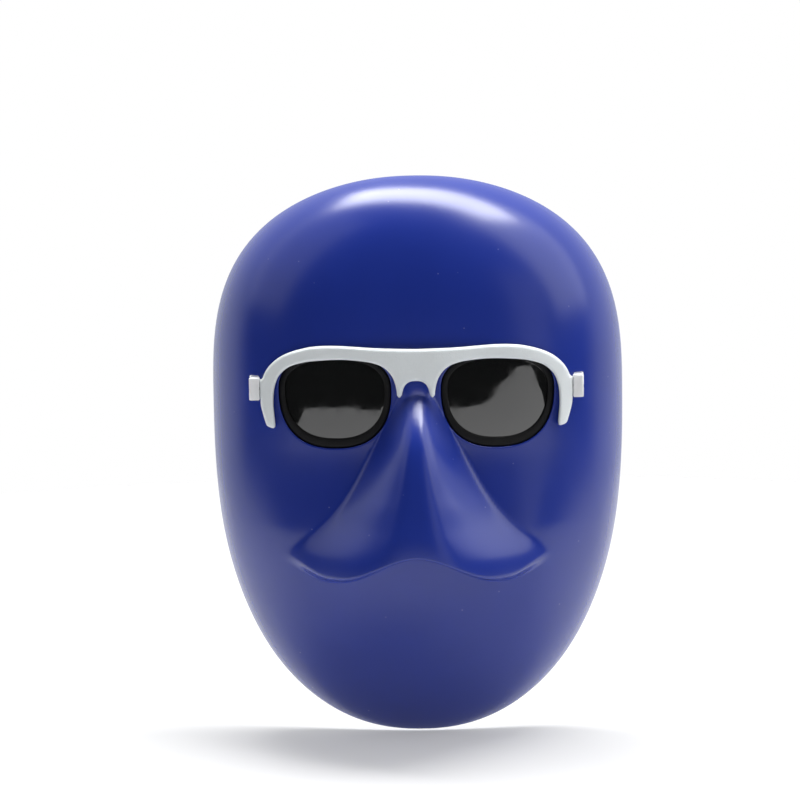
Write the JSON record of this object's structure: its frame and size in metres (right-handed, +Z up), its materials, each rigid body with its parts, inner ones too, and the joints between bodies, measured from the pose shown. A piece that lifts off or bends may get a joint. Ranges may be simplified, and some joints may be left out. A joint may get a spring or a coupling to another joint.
{
  "type": "welder's spectacle face mask",
  "caption": "Moulded plastic welder's face mask with a nose dome, fitted with dark spectacles whose folding temples hold it on the ears.",
  "frame": {"origin": "inner face of the shell on the centre line, at the height of the spectacle bridge, where the wearer's nose carries the mask", "axes": "the mask looks along -Y, +X is the wearer's left, +Z is up the face towards the crown"},
  "size_m": [0.195, 0.1841, 0.2615],
  "materials": {
    "shell": "satin-gloss blue moulded plastic",
    "brow_frame": "milky translucent moulded nylon, satin",
    "lens_rim": "matt black moulded rim",
    "lens": "dark grey-green filter glass with a mirror-like front",
    "end_piece": "opaque white moulded nylon, satin",
    "temple_arm": "opaque white moulded nylon, satin",
    "ear_sleeve": "soft white plastic sleeve, satin",
    "steel": "bright nickel-plated steel"
  },
  "bodies": {
    "mask": {"mask_shell": "shell", "brow_frame": "brow_frame", "left_lens_rim": "lens_rim", "left_lens": "lens", "left_end_piece": "end_piece", "left_end_piece_screw": "steel", "left_hinge_front_leaf": "steel", "left_hinge_screw": "steel", "left_front_leaf_rivet_1": "steel", "left_front_leaf_rivet_2": "steel", "right_lens_rim": "lens_rim", "right_lens": "lens", "right_end_piece": "end_piece", "right_end_piece_screw": "steel", "right_hinge_front_leaf": "steel", "right_hinge_screw": "steel", "right_front_leaf_rivet_1": "steel", "right_front_leaf_rivet_2": "steel"},
    "left_temple": {"left_temple_arm": "temple_arm", "left_hinge_rear_leaf": "steel", "left_rear_leaf_rivet_1": "steel", "left_rear_leaf_rivet_2": "steel", "left_temple_core_wire": "steel", "left_ear_sleeve": "ear_sleeve"},
    "right_temple": {"right_temple_arm": "temple_arm", "right_hinge_rear_leaf": "steel", "right_rear_leaf_rivet_1": "steel", "right_rear_leaf_rivet_2": "steel", "right_temple_core_wire": "steel", "right_ear_sleeve": "ear_sleeve"}
  },
  "joints": [
    {"name": "left_temple_fold", "type": "hinge", "parent": "mask", "child": "left_temple", "pos_m": [0.0699, 0.03215, -0.002], "axis": [0, 0, 1], "range_deg": [0, 90]},
    {"name": "right_temple_fold", "type": "hinge", "parent": "mask", "child": "right_temple", "pos_m": [-0.0699, 0.03215, -0.002], "axis": [0, 0, -1], "range_deg": [0, 76]}
  ]
}
